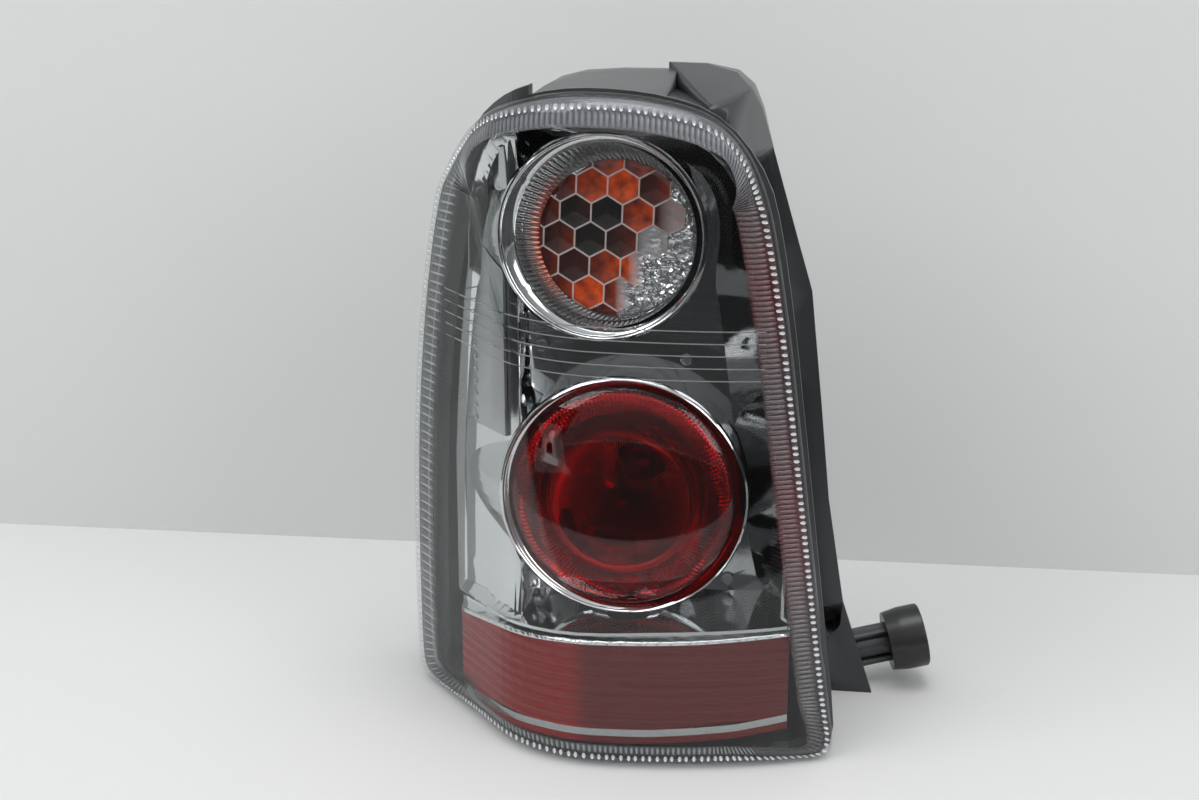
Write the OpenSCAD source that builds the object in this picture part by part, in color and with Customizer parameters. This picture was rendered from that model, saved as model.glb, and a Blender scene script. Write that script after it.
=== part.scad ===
// Tail light cluster: a wrap-around clear lens over two round lamps and a red band.
// Sizes are millimetres. The cluster stands on its lower edge. The lamps face -Y, the
// wrap-around side is at -X and the origin is under the middle of the bounding box.

/* [Clear lens] */
// Height of the clear lens
lens_h = 415; // [405:1:430]
// Width of the clear lens along its curve
lens_span = 336; // [330:1:350]
// Wall of the clear lens
lens_wall = 2.8; // [2.2:0.1:3.2]
// How far the face stands out from the rim
lens_crown = 14; // [14:0.5:16]
// Width of the rounding at the edge of the face
lens_round = 14; // [12:0.5:16]
// Depth of the straight skirt behind the rim
lens_skirt = 3; // [2:0.5:4]
// Height of the ribs inside the border
rib_h = 1; // [0.6:0.1:1.4]
// Radius of the front of the lens in plan
face_radius = 345; // [330:5:380]
// Radius of the bend to the side in plan
bend_radius = 80; // [76:1:86]
// Angle of the bend to the side in plan
bend_angle = 50; // [48:1:52]

/* [Border] */
// Border of the lens beside the bezel, right
border_right = 21; // [20:0.5:23]
// Border of the lens beside the bezel, left
border_left = 52; // [50:1:56]
// Border of the lens above the bezel
border_top = 17; // [16:0.5:19]
// Border of the lens under the red band
border_bottom = 14; // [13:0.5:15]

/* [Housing] */
// Wall of the housing
wall = 2.5; // [2:0.1:3]
// Plane of the outside of the back wall
back_y = 146; // [144:1:152]
// How far the rim stands out of the lens on the right
rim_right = 4.5; // [3:0.5:6]
// Thickness of the rim that carries the lens
rim_t = 4; // [3:0.5:5]
// Thickness of the seal between lens and rim
seal_t = 1.5; // [1:0.1:2]
// Front plane of the mounting flange
flange_y = 114; // [110:1:116]
// Thickness of the mounting flange
flange_t = 3; // [2.5:0.1:4]
// Radius of the lower hole in the flange
low_hole_r = 10; // [8:0.5:10.5]
// Depth of the lower hole in the flange
cup_len = 20; // [16:1:22]
// Radius of the upper screw hole in the flange
top_hole_r = 4; // [3.8:0.1:4.3]

/* [Locating peg] */
// Radius of the barrel of the peg
peg_r = 21.6; // [20:0.2:23]
// Length of the barrel of the peg
peg_len = 25; // [22:0.5:28]
// Height of the stem of the peg
stem_h = 24; // [20:0.5:26]
// Upward tilt of the peg
peg_tilt = 12; // [8:1:14]
// Turn of the peg to the back
peg_turn = 10; // [8:1:12]

/* [Lamps] */
// Middle of the upper lamp across the cluster
upper_x = -1; // [-2:0.5:0]
// Height of the upper lamp
upper_z = 329; // [328:0.5:331]
// Outer radius of the upper ring
upper_r = 63; // [61:0.5:64]
// Radius of the honeycomb field
comb_r = 48; // [46:0.5:49]
// Distance between two cells of the honeycomb
comb_pitch = 19.5; // [18:0.5:21]
// Middle of the lower lamp across the cluster
lower_x = 12; // [11:0.5:13]
// Height of the lower lamp
lower_z = 168; // [167:0.5:169.5]
// Outer radius of the lower ring
lower_r = 77; // [75:0.5:78]
// How far the drum of each lamp leans to the left for each millimetre of depth
drum_lean = 0.67; // [0.6:0.01:0.7]
// Wall of the drums
drum_t = 2.2; // [1.8:0.1:2.6]
// How far the opening of each ring lies to the right of the ring
ring_shift = 3.5; // [2:0.5:4]
// Front plane of both rings
ring_y = 13; // [12:0.5:14]
// Number of flutes around each lamp
flutes = 48; // [36:4:60]
// How far the red dome stands out
dome_h = 16; // [13:0.5:18]
// Front plane of the floor of the bezel
floor_y = 42; // [40:0.5:44]

/* [Red band] */
// Lower edge of the red band
band_z = 27; // [26:0.5:28]
// Height of the red band
band_h = 53; // [50:0.5:54]
// Left end of the red band along the curve
band_left = -123; // [-124:0.5:-118]
// Right end of the red band along the curve
band_right = 117; // [112:0.5:118]
// Distance between two flutes of the red band
flute_pitch = 7; // [6:0.5:9]

/* [Bulbs] */
// Radius of the glass of a bulb
bulb_r = 12.5; // [11:0.5:13]
// Radius of the metal base of a bulb
base_r = 7.6; // [7:0.1:8]
// Radius of a socket where it passes the wall
socket_r = 15; // [14:0.5:16]
// Length of a socket behind the wall
socket_len = 20; // [18:1:24]

/* [Hidden] */
$fn = 72;
gap = 0.3;
front_y = 5;
ring_n = 100;
rib_n = 5;
plastic = [0.12, 0.12, 0.13];
chrome = [0.82, 0.83, 0.85];
clear = [0.85, 0.9, 0.93, 0.35];
red = [0.7, 0.05, 0.06, 0.8];

// Control points of the lens's outline along the curve and up, seen from the front
shape = [
    [-24.3, 0], [50, 0], [110, 0], [138, 0], [146.5, 2.5], [148.6, 10], [146.4, 30],
    [139.8, 77], [130.7, 145], [120.3, 222], [110.7, 289], [100, 346], [92.3, 369],
    [83.2, 385], [71.5, 397.3], [57.3, 405.7], [23.5, 413.8], [-20, 415], [-62.3, 406],
    [-86.5, 396.4], [-107.4, 383], [-126.8, 364.4], [-141.5, 345], [-163.5, 283],
    [-180.5, 196.5], [-187, 107], [-187.5, 50], [-185.5, 15], [-181.5, 5.5], [-172, 2.2], [-120, 1]
];
shape_k = [lens_span / 336, lens_h / 415];
shape_n = len(shape);

function at(i) = let (p = shape[(i + shape_n) % shape_n]) [p.x * shape_k.x, p.y * shape_k.y];
function knot(a, b) = sqrt(norm(b - a));
function mix(a, b, t) = a + (b - a) * t;

// Centripetal Catmull-Rom curve between p1 and p2
function curve_pt(p0, p1, p2, p3, t) =
    let (
        k1 = knot(p0, p1), k2 = k1 + knot(p1, p2), k3 = k2 + knot(p2, p3),
        k = mix(k1, k2, t),
        a1 = mix(p0, p1, k / k1), a2 = mix(p1, p2, (k - k1) / (k2 - k1)),
        a3 = mix(p2, p3, (k - k2) / (k3 - k2)),
        b1 = mix(a1, a2, k / k2), b2 = mix(a2, a3, (k - k1) / (k3 - k1))
    )
    mix(b1, b2, (k - k1) / (k2 - k1));

dense = [
    for (i = [0 : shape_n - 1], t = [0 : 7])
        curve_pt(at(i - 1), at(i), at(i + 1), at(i + 2), t / 8)
];
dense_n = len(dense);
runs = [
    for (i = 0, s = 0; i <= dense_n; s = s + norm(dense[(i + 1) % dense_n] - dense[i % dense_n]),
        i = i + 1) s
];
table_x = [for (i = [0 : dense_n]) [runs[i], dense[i % dense_n].x]];
table_z = [for (i = [0 : dense_n]) [runs[i], dense[i % dense_n].y]];
perimeter = runs[dense_n];

// The outline as n points at equal distances
function outline(n) =
    [for (i = [0 : n - 1]) let (s = perimeter * i / n) [lookup(s, table_x), max(0, lookup(s, table_z))]];

// The curve of the rim in plan: heading, and the point d in front of it
function heading(u) = u > 0 ? u / face_radius * 180 / PI : max(u / bend_radius * 180 / PI, -bend_angle);
function plan(u, d = 0) =
    let (
        a = heading(u),
        run = u > 0 ? 0 : min(0, u + bend_angle * PI / 180 * bend_radius),
        r = u > 0 ? face_radius : bend_radius
    )
    [
        r * sin(a) + run * cos(a) + d * sin(a),
        -front_y + r * (1 - cos(a)) + run * sin(a) - d * cos(a)
    ];
function wrap(p, d) = let (q = plan(p.x, d)) [q.x, q.y, p.y];

// Where the curve, d in front of the rim, reaches the plane y on the left
function reach(y, d) =
    let (y0 = -front_y + bend_radius * (1 - cos(bend_angle)) - d * cos(bend_angle))
    -bend_angle * PI / 180 * bend_radius - (y - y0) / sin(bend_angle);

// Insets by the widths [right, left, top, bottom], measured away from a core box
wide_core = [[-90, 45], [70, 350]];
small_core = [[-45, 150], [25, 290]];
function away(p, core) =
    let (q = [max(core[0].x, min(p.x, core[1].x)), max(core[0].y, min(p.y, core[1].y))])
    (p - q) / norm(p - q);
function width(n, w) = n.x * n.x * (n.x > 0 ? w[0] : w[1]) + n.y * n.y * (n.y > 0 ? w[2] : w[3]);
function inset(p, w, core = wide_core) = let (n = away(p, core)) p - n * width(n, w);
function even(t) = [t, t, t, t];

base_ring = outline(ring_n);
fine_ring = outline(ring_n * rib_n);
lens_mid = [-25 * shape_k.x, lens_h / 2];
border = [border_right, border_left, border_top, border_bottom];

// Depth of the rounded face at the distance t from the edge
function crown(t, h, w) = h * sqrt(1 - pow(1 - min(max(t / w, 0), 1), 2));

// Triangles between two rings, also where one has several times the points of the other
function band(a, na, b, nb) =
    na == nb ?
        [for (i = [0 : na - 1]) each [
            [a + i, b + i, b + (i + 1) % nb], [a + i, b + (i + 1) % nb, a + (i + 1) % na]]] :
    nb > na ?
        let (k = nb / na)
        [for (i = [0 : na - 1]) each concat(
            [for (q = [0 : k - 1]) [a + i, b + k * i + q, b + (k * i + q + 1) % nb]],
            [[a + i, b + (k * (i + 1)) % nb, a + (i + 1) % na]])] :
        let (k = na / nb)
        [for (i = [0 : nb - 1]) each concat(
            [for (q = [0 : k - 1]) [a + k * i + q, b + i, a + (k * i + q + 1) % na]],
            [[a + (k * (i + 1)) % na, b + i, b + (i + 1) % nb]])];

function starts(rings) = [for (i = 0, s = 0; i < len(rings); s = s + len(rings[i]), i = i + 1) s];

// A solid skin over rings, closed by a fan to a point at each end
module skin(rings, tip_a, tip_b) {
    at = starts(rings);
    m = len(rings);
    pts = concat([for (r = rings) each r], [tip_a, tip_b]);
    total = len(pts);
    n0 = len(rings[0]);
    n1 = len(rings[m - 1]);
    polyhedron(pts, concat(
        [for (i = [0 : n0 - 1]) [total - 2, i, (i + 1) % n0]],
        [for (j = [0 : m - 2]) each band(at[j], len(rings[j]), at[j + 1], len(rings[j + 1]))],
        [for (i = [0 : n1 - 1]) [total - 1, at[m - 1] + (i + 1) % n1, at[m - 1] + i]]
    ), convexity = 8);
}

// A closed frame over rings, the last joined to the first
module frame_skin(rings) {
    at = starts(rings);
    m = len(rings);
    polyhedron([for (r = rings) each r], [
        for (j = [0 : m - 1]) each band(at[j], len(rings[j]), at[(j + 1) % m], len(rings[(j + 1) % m]))
    ], convexity = 8);
}

// The front view of the outline inset by w, as a bar along Y
module bar_y(w, core = wide_core, y0 = -60, y1 = 200) {
    translate([0, y1, 0])
        rotate([90, 0, 0])
            linear_extrude(y1 - y0)
                polygon([for (p = base_ring) let (q = inset(p, w, core)) [wrap(q, -3).x, max(0, q.y)]]);
}

// A bar along Y with a front view of its own
module view_bar(pts, y0 = -60, y1 = 200) {
    translate([0, y1, 0])
        rotate([90, 0, 0])
            linear_extrude(y1 - y0)
                polygon(pts);
}

curve_u = [for (u = [-70 : 5 : 0]) u, for (u = [15 : 15 : 180]) u];

// The space behind the curve, d in front of the rim, up to the plane y
module behind(d, y, z0 = -5, z1 = 440) {
    translate([0, 0, z0])
        linear_extrude(z1 - z0)
            polygon(concat(
                [plan(reach(y, d), d)],
                [for (u = curve_u) plan(u, d)],
                [[plan(180, d).x, y]]));
}

// A strip of the curve between two depths
module strip(d0, d1, u0 = -230, u1 = 180, z0 = -5, z1 = 440) {
    us = concat([u0], [for (u = curve_u) if (u > u0 + 0.5 && u < u1 - 0.5) u], [u1]);
    translate([0, 0, z0])
        linear_extrude(z1 - z0)
            polygon(concat(
                [for (u = us) plan(u, d1)],
                [for (i = [len(us) - 1 : -1 : 0]) plan(us[i], d0)]));
}

// Clear lens, with upright ribs all round inside its border
function face_ring(f, d) =
    [for (p = base_ring) wrap(mix(lens_mid, inset(p, border + even(2)), f), d)];
function lens_in(t) = crown(t - lens_wall, lens_crown - lens_wall, lens_round - lens_wall / 2);

edge_rings = [
    for (t = [lens_round, 7.5, 3.5, 1])
        [for (p = base_ring) wrap(inset(p, even(t)), crown(t, lens_crown, lens_round))]
];

module outer_lens() {
    inner = lens_crown - lens_wall;
    steps = [1, 0.84, 0.66, 0.48, 0.28];
    outside = [
        for (i = [len(steps) - 1 : -1 : 0]) face_ring(steps[i], lens_crown),
        each edge_rings,
        [for (p = base_ring) wrap(p, -lens_skirt)]
    ];
    ribs = [
        for (w = [even(8.5), border - even(2)])
            [for (i = [0 : len(fine_ring) - 1])
                let (p = fine_ring[i])
                wrap(inset(p, w), min(lens_in(width(away(p, wide_core), w)), inner) - (i % 2) * rib_h)]
    ];
    inside = [
        [for (p = base_ring) wrap(inset(p, even(lens_wall)), -lens_skirt)],
        for (t = [lens_wall + 1, lens_wall + 3.5])
            [for (p = base_ring) wrap(inset(p, even(t)), lens_in(t))],
        ribs[0],
        ribs[1],
        for (f = steps) face_ring(f, inner)
    ];
    color(clear)
        skin(concat(outside, inside), wrap(lens_mid, lens_crown), wrap(lens_mid, inner));
}

// Seal between the lens and the land of the housing
land = -lens_skirt - seal_t;
module lens_seal() {
    color([0.03, 0.03, 0.03])
        difference() {
            intersection() {
                bar_y(even(0.5));
                strip(land, -lens_skirt - 0.25);
            }
            bar_y(even(lens_wall + 1.2));
        }
}

// Housing
rim_w = [-rim_right, -2, -1.5, 0];
tub_w = [16, 3, 4, 3];
cavity_w = tub_w + even(wall) - [0.6, 0, 0, 0];
flange_edge = [
    [172, 0], [150, 66], [138, 137], [130, 210], [122, 279], [112, 312], [95, 369], [88, 396],
    [82, 410], [72, 418.5], [52, 422.5], [28, 423], [28, 419], [0, 419], [-24, 417.5], [-40, 413.5],
    [-48, 406], [-50, 395], [-50, 370], [40, 340], [85, 250], [100, 60], [104, 0]
];
lip_ring = [for (p = base_ring) if (p.x < -42 && p.x > -128 && p.y > lens_h * 0.8) p];
lip_n = len(lip_ring);
flange_holes = [
    [139 * shape_k.x, 52, low_hole_r, cup_len],
    [96.5 * shape_k.x, 322, top_hole_r, 8]
];
posts = [
    [upper_x + 49, lower_z + lower_r + 5], [upper_x - 41, lower_z + lower_r + 11],
    [lower_x - 60, lower_z - 64], [lower_x + 64, lower_z - 60]
];
post_r = 5;
screw_r = 1.8;
floor_t = 2.5;
upper_c = upper_x + ring_shift;
lower_c = lower_x + ring_shift;
turn_y = 96;
stop_y = 103;
fog_y = 84;
band_bulb = [30, band_z + 27];
bulb_axes = [[upper_c, upper_z], [lower_c, lower_z], band_bulb];
peg_dir = [cos(peg_tilt) * cos(peg_turn), cos(peg_tilt) * sin(peg_turn), sin(peg_tilt)];
peg_root = [116, back_y - 21.5, 15];
stem_len = 68;
spigot_r = 8;

module along_y(x, z, y0, y1, r) {
    translate([x, y1, z])
        rotate([90, 0, 0])
            cylinder(r = r, h = y1 - y0);
}

module peg_axis() {
    translate(peg_root)
        rotate([0, -peg_tilt, peg_turn])
            rotate([0, 90, 0])
                children();
}

module lip() {
    intersection() {
        strip(land - rim_t - 6, land);
        view_bar([
            for (i = [0 : lip_n - 1])
                let (q = inset(lip_ring[i], even(-1.5 - 5.5 * sin(min(90, 150 * (1 - i / lip_n))))))
                [wrap(q, -3).x, q.y],
            for (i = [lip_n - 1 : -1 : 0])
                let (q = inset(lip_ring[i], even(2)))
                [wrap(q, -3).x, q.y]
        ]);
    }
}

module stem() {
    peg_axis() {
        for (x = [-stem_h / 2, stem_h / 2 - 4])
            translate([x, -6, 0])
                cube([4, 12, stem_len]);
        translate([-stem_h / 2, -2, 0])
            cube([stem_h, 4, stem_len]);
        cylinder(r = spigot_r, h = stem_len + peg_len - 4);
    }
}

module housing() {
    color(plastic) {
        difference() {
            union() {
                intersection() {
                    bar_y(rim_w);
                    strip(land - rim_t, land);
                }
                intersection() {
                    bar_y(tub_w);
                    behind(land - rim_t / 2, back_y);
                }
                lip();
                flange_bar(flange_y, flange_y + flange_t);
                top_wall();
                shoulder();
                stem();
                along_y(flange_holes[0].x, flange_holes[0].y, flange_y + 1, flange_y + cup_len + wall,
                    low_hole_r + wall);
            }
            intersection() {
                bar_y(cavity_w);
                behind(2, back_y - wall);
            }
            for (b = bulb_axes)
                along_y(b.x, b.y, back_y - 10, back_y + 10, socket_r + gap);
            for (h = flange_holes)
                along_y(h.x, h.y, flange_y - 5, flange_y + h[3], h[2]);
        }
        for (p = posts)
            difference() {
                along_y(p.x, p.y, floor_y + floor_t, back_y - wall / 2, post_r);
                along_y(p.x, p.y, floor_y, floor_y + 14, screw_r - 0.1);
            }
    }
}

// Flange, and the two slopes that join it to the rim at the top
module flange_bar(y0, y1) {
    view_bar([for (p = flange_edge) [p.x * shape_k.x, p.y * shape_k.y]], y0, y1);
}
module slope(x0, x1, side) {
    intersection() {
        flange_bar(2, flange_y + 1);
        behind(land - rim_t / 2, back_y);
        translate([x0, 0, 0])
            rotate([90, 0, 90])
                linear_extrude(x1 - x0)
                    polygon([for (p = side) [p.x, p.y * shape_k.y]]);
    }
}
module top_wall() {
    slope(-60, 34, [[4, 395], [4, 409.5], [flange_y + 1, 419.6], [flange_y + 1, 395]]);
}
module shoulder() {
    intersection() {
        slope(20, 100, [[40, 368], [40, 402.5], [flange_y + 1, 423.6], [flange_y + 1, 368]]);
        linear_extrude(440)
            polygon([[28, flange_y + 2], [59, 47], [71, 42], [95, flange_y + 2]]);
    }
}

// Barrel of the locating peg, pressed on the spigot of the stem
module peg_barrel() {
    color(plastic)
        peg_axis()
            difference() {
                union() {
                    translate([0, 0, stem_len])
                        cylinder(r1 = peg_r - 1.6, r2 = peg_r, h = peg_len * 0.45);
                    translate([0, 0, stem_len + peg_len * 0.45])
                        cylinder(r = peg_r, h = peg_len * 0.55 - 1);
                    translate([0, 0, stem_len + peg_len - 1])
                        cylinder(r1 = peg_r, r2 = peg_r - 1, h = 1);
                }
                translate([0, 0, stem_len - 1])
                    cylinder(r = spigot_r + 0.05, h = peg_len - 3);
            }
}

// Bezel: sloping walls round the floor of the lamps, and the panel on the wrap-around side
cheek_u = -58;
bezel_side = -131;
cheek_x = plan(cheek_u).x;
bezel_low = band_z + band_h + 12;
bezel_rise = 0.06;
bezel_front = [border_right, border_left, border_top, bezel_low - 22];
bezel_slope = [23, 7, 20, 0];
bezel_t = 2;
function soft_min(x, low) = x > low ? x : low + (x - low) * 0.1;
function bezel_ring(w, low, side) = [
    for (p = base_ring)
        let (q = inset(p, w, small_core))
        [soft_min(q.x, side), soft_min(q.y, low + bezel_rise * q.x)]
];
bezel_edge = bezel_ring(bezel_front, bezel_low, bezel_side);
bezel_inner = bezel_ring(bezel_front + bezel_slope, bezel_low + 8, bezel_side + 7);
panel_edge = bezel_ring(bezel_front + [0, 4.6, 2.2, 0], bezel_low + 1.5, bezel_side + 4.6);

// A closed line moved out by t
function grown(r, t) = [
    for (i = [0 : len(r) - 1])
        let (a = r[(i + 1) % len(r)] - r[(i + len(r) - 1) % len(r)])
        r[i] + [a.y, -a.x] / norm(a) * t
];
function between(r) = [for (i = [0 : len(r) - 1]) (r[i] + r[(i + 1) % len(r)]) / 2];
function rim_d(u) = u > cheek_u ? 9 : mix(3, 9, max(0, (u - bezel_side) / (cheek_u - bezel_side)));
function bezel_rim(t) = [for (q = grown(bezel_edge, t)) wrap(q, rim_d(q.x))];
function bezel_foot(r, d) = [for (q = r) let (e = wrap(q, 1 - d)) [e.x, max(floor_y + d, e.y), q.y]];

module bezel() {
    view = [for (p = bezel_foot(between(grown(bezel_inner, 0.8)), 0)) [p.x, p.z]];
    panel = [for (q = between(panel_edge)) [wrap(q, 1).x, q.y]];
    color(chrome)
        difference() {
            union() {
                frame_skin([
                    bezel_rim(bezel_t),
                    bezel_rim(0),
                    bezel_foot(bezel_inner, -0.4),
                    bezel_foot(grown(bezel_inner, bezel_t + 0.3), floor_t + 0.8)
                ]);
                intersection() {
                    view_bar(view, floor_y, floor_y + floor_t);
                    translate([cheek_x - 10, 0, 0])
                        cube([300, 100, 500]);
                }
                intersection() {
                    view_bar(panel);
                    strip(-1.5, 1, -200, cheek_u + 3);
                }
                intersection() {
                    view_bar(panel);
                    translate([cheek_x - 0.5, plan(cheek_u).y + 1, 0])
                        cube([2, floor_y + floor_t / 2 - plan(cheek_u).y - 1, 500]);
                }
            }
            along_y(upper_x, upper_z, -60, floor_y, upper_r + gap);
            along_y(lower_x, lower_z, -60, floor_y, lower_r + gap);
            along_y(upper_c, upper_z, 0, 60, upper_r - 14);
            along_y(lower_c, lower_z, 0, 60, lower_r - 12);
            for (p = posts)
                along_y(p.x, p.y, 0, 60, screw_r + 0.3);
        }
}

// A solid of revolution about an axis along Y, from a profile of [radius, y]
module turned(x, z, profile) {
    translate([x, 0, z])
        rotate([90, 0, 0])
            rotate_extrude()
                polygon([for (p = profile) [p.x, -p.y]]);
}

// Rings, with an opening that lies a little to the right
ledge_y = ring_y + 9;
module ring(x, z, r, open_r) {
    color(chrome)
        difference() {
            turned(x, z, [
                [0, floor_y], [r, floor_y], [r, ring_y + 2.5], [r - 1, ring_y + 0.8],
                [r - 2.2, ring_y], [r - 3.2, ring_y + 0.8], [r - 4, ring_y + 2.4], [0, ring_y + 2.4]
            ]);
            along_y(x + ring_shift, z, -10, ledge_y, open_r + gap);
            along_y(x + ring_shift, z, 0, 60, open_r - 4);
        }
}
upper_open = upper_r - 5.5 - ring_shift * 0.5;
lower_open = lower_r - 3 - ring_shift * 0.6;
module upper_ring() ring(upper_x, upper_z, upper_r, upper_open);
module lower_ring() ring(lower_x, lower_z, lower_r, lower_open);

// Front view of the side panel inside the slopes of the bezel
side_view = [
    for (q = bezel_ring(bezel_front + bezel_slope + even(1.5), bezel_low + 10, bezel_side + 9))
        [wrap(q, 1).x, q.y]
];

// Drum round a ring, leaning to the left until it meets the side panel
function drum_ring(x, z, r, y) = [
    for (i = [0 : 71])
        let (a = 5 * i + 2.5)
        [x - drum_lean * (y - ring_y - 4) + r * cos(a), y, z + r * sin(a)]
];
module leaning(x, z, r, y0, y1) {
    skin([drum_ring(x, z, r, y1), drum_ring(x, z, r, y0)],
        [x - drum_lean * (y1 - ring_y - 4), y1, z], [x - drum_lean * (y0 - ring_y - 4), y0, z]);
}
module drum(x, z, r) {
    color(chrome)
        difference() {
            intersection() {
                leaning(x, z, r - 0.2, ring_y + 4, back_y - 54);
                strip(1 + gap, 60, -150, cheek_u + 28);
                view_bar(side_view);
            }
            leaning(x, z, r - 0.2 - drum_t, ring_y, back_y - 50);
            along_y(x, z, -60, 120, r + gap);
        }
}
module upper_drum() drum(upper_x, upper_z, upper_r);
module lower_drum() drum(lower_x, lower_z, lower_r);

// One flute as a thin bar in the plane of the axis
module flute(a, profile, t = 1.4) {
    rotate([0, 0, a])
        rotate([90, 0, 0])
            translate([0, 0, -t / 2])
                linear_extrude(t)
                    polygon(profile);
}

// Clear cap of the upper lamp: a honeycomb of convex cells and a fluted border
comb_y = ledge_y + 5;
cell_r = (comb_pitch - 0.7) / sqrt(3);
cell_ball = 22;
module comb_cell(x, y) {
    translate([x, y, 0])
        intersection() {
            rotate([0, 0, 30])
                cylinder(r = cell_r, h = 12, $fn = 6);
            translate([0, 0, 3.2 - cell_ball])
                sphere(r = cell_ball);
        }
}
comb_spots = [
    for (j = [-3 : 3], i = [-3 : 3])
        let (x = (i + (abs(j) % 2) / 2) * comb_pitch, y = j * comb_pitch * sqrt(3) / 2)
        if (norm([x, y]) + cell_r * 0.7 < comb_r) [x, y]
];
module upper_cap() {
    r = upper_open;
    color(clear) {
        turned(upper_c, upper_z, [
            [0, comb_y], [comb_r, comb_y], [comb_r + 3.2, ledge_y - 2.5], [r, ledge_y - 2.5],
            [r, ledge_y], [comb_r + 4.4, ledge_y], [comb_r + 1.6, comb_y + 2.5], [0, comb_y + 2.5]
        ]);
        translate([upper_c, comb_y + 0.5, upper_z])
            rotate([90, 0, 0]) {
                rotate([0, 0, 3])
                    for (s = comb_spots)
                        comb_cell(s.x, s.y);
                for (i = [0 : flutes - 1])
                    flute(i * 360 / flutes, [
                        [comb_r - 1, -1], [comb_r + 0.5, 2.6], [comb_r + 2.4, 7.2], [r - 1, 9],
                        [r - 1, 7], [comb_r + 4.2, 7], [comb_r + 1.5, -1]
                    ]);
            }
    }
}

// Red dome of the lower lamp with flutes inside its shoulder
function dome(r, h, y) = [for (a = [0 : 7.5 : 90]) [r * pow(sin(a), 0.85), y - h * pow(cos(a), 0.9)]];
module lower_cap() {
    r = lower_open;
    color(red) {
        turned(lower_c, lower_z, concat(
            dome(r, dome_h, ledge_y - 2.5),
            [[r, ledge_y], [r - 2.5, ledge_y]],
            [for (i = [12 : -1 : 0]) dome(r - 2.5, dome_h - 2.5, ledge_y - 2.5)[i]]));
        translate([lower_c, ledge_y - 2.5, lower_z])
            rotate([90, 0, 0])
                for (i = [0 : flutes - 1])
                    flute(i * 360 / flutes, [
                        [r - 20, dome_h * 0.55], [r - 20, dome_h * 0.86], [r - 8, dome_h * 0.55],
                        [r - 3, 0], [r - 8, 0]
                    ]);
    }
}

// Reflectors behind the floor of the bezel
module reflector(x, z, r, y1) {
    y0 = floor_y + floor_t;
    top = y1 + 6;
    k = r / sqrt(top - y0);
    n = 12;
    neck = socket_r + gap;
    rs = [for (i = [0 : n]) mix(r, neck, i / n)];
    color(chrome)
        turned(x, z, concat(
            [for (q = rs) [q, top - pow(q / k, 2)]],
            [for (i = [n : -1 : 0]) [rs[i] + 2.2, top - pow(rs[i] / k, 2) + (i == 0 ? 2 : 1)]],
            [[r + 7, y0 + 2], [r + 7, y0]]));
}
module upper_reflector() reflector(upper_c, upper_z, upper_r - 15, 97);
module lower_reflector() reflector(lower_c, lower_z, lower_r - 13, 104);

// Red band and its trims, between two lines that rise to the right
function band_low(u) = band_z + lookup(u, [[-120, -10], [-70, -5], [-35, -2], [33, -1], [84, 2], [120, 7]]);
function band_top(u) =
    band_z + band_h + lookup(u, [[-120, -11], [-68, -3], [-21, 1], [62, 3], [120, 6]]);
band_us = [for (i = [0 : 24]) mix(band_left, band_right, i / 24)];
module band_shape(lo, hi, left = 0, right = 0) {
    k = [for (i = [0 : 24]) band_us[i] + (i == 0 ? -left : i == 24 ? right : 0)];
    view_bar(concat(
        [for (i = [0 : 24]) [plan(k[i], 6).x, lo[i]]],
        [for (i = [24 : -1 : 0]) [plan(k[i], 6).x, hi[i]]]));
}
lows = [for (u = band_us) band_low(u)];
tops = [for (u = band_us) band_top(u)];
function up(v, h) = [for (z = v) z + h];
band_d = 5;
bowl_r = 23;

module band_lens() {
    color(red)
        intersection() {
            band_shape(lows, tops);
            union() {
                strip(band_d - 2.2, band_d + 2.6, -130, 130);
                for (z = [band_z - 10 : flute_pitch : band_z + band_h + 8])
                    strip(band_d + 2, band_d + 3.4, -130, 130, z, z + flute_pitch / 2);
            }
        }
}
module band_tray() {
    bowl = [[bowl_r, 0], [socket_r + gap, fog_y + 2], [socket_r + gap + 2, fog_y + 2], [bowl_r + 2, 0]];
    color(chrome)
        difference() {
            union() {
                intersection() {
                    band_shape(up(lows, -2), up(tops, 2), 2, -1.2);
                    strip(band_d - 18, band_d - 2.2, -130, 130);
                }
                turned(band_bulb.x, band_bulb.y, bowl);
                for (x = [-60, 85])
                    along_y(x, band_z + 26, plan(x).y + 13, back_y - wall, 5);
            }
            intersection() {
                band_shape(lows, tops, 0, -3.2);
                strip(band_d - 16.5, band_d + 5, -130, 130);
            }
            turned(band_bulb.x, band_bulb.y,
                [[0, -20], [bowl_r, -20], [bowl_r, 0], [socket_r + gap, fog_y + 2], [0, fog_y + 2]]);
        }
}
module band_trim() {
    color(chrome) {
        intersection() {
            band_shape(up(tops, 0.3), [for (u = band_us) bezel_low + min(bezel_rise * u - 6.5, -2)]);
            strip(band_d - 2, band_d - 0.5, -130, 130);
        }
        intersection() {
            band_shape(up(tops, 0.3), up(tops, 3.2));
            strip(band_d - 1, band_d + 3.6, -130, 130);
        }
    }
}
module sill_trim() {
    color(chrome)
        intersection() {
            band_shape(up(lows, -5), up(lows, -0.3));
            strip(band_d, band_d + 3, -130, 130);
        }
}
module sill_lens() {
    color(red)
        intersection() {
            band_shape(up(lows, -10), up(lows, -5));
            strip(band_d, band_d + 2.4, -130, 130);
        }
}

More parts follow.
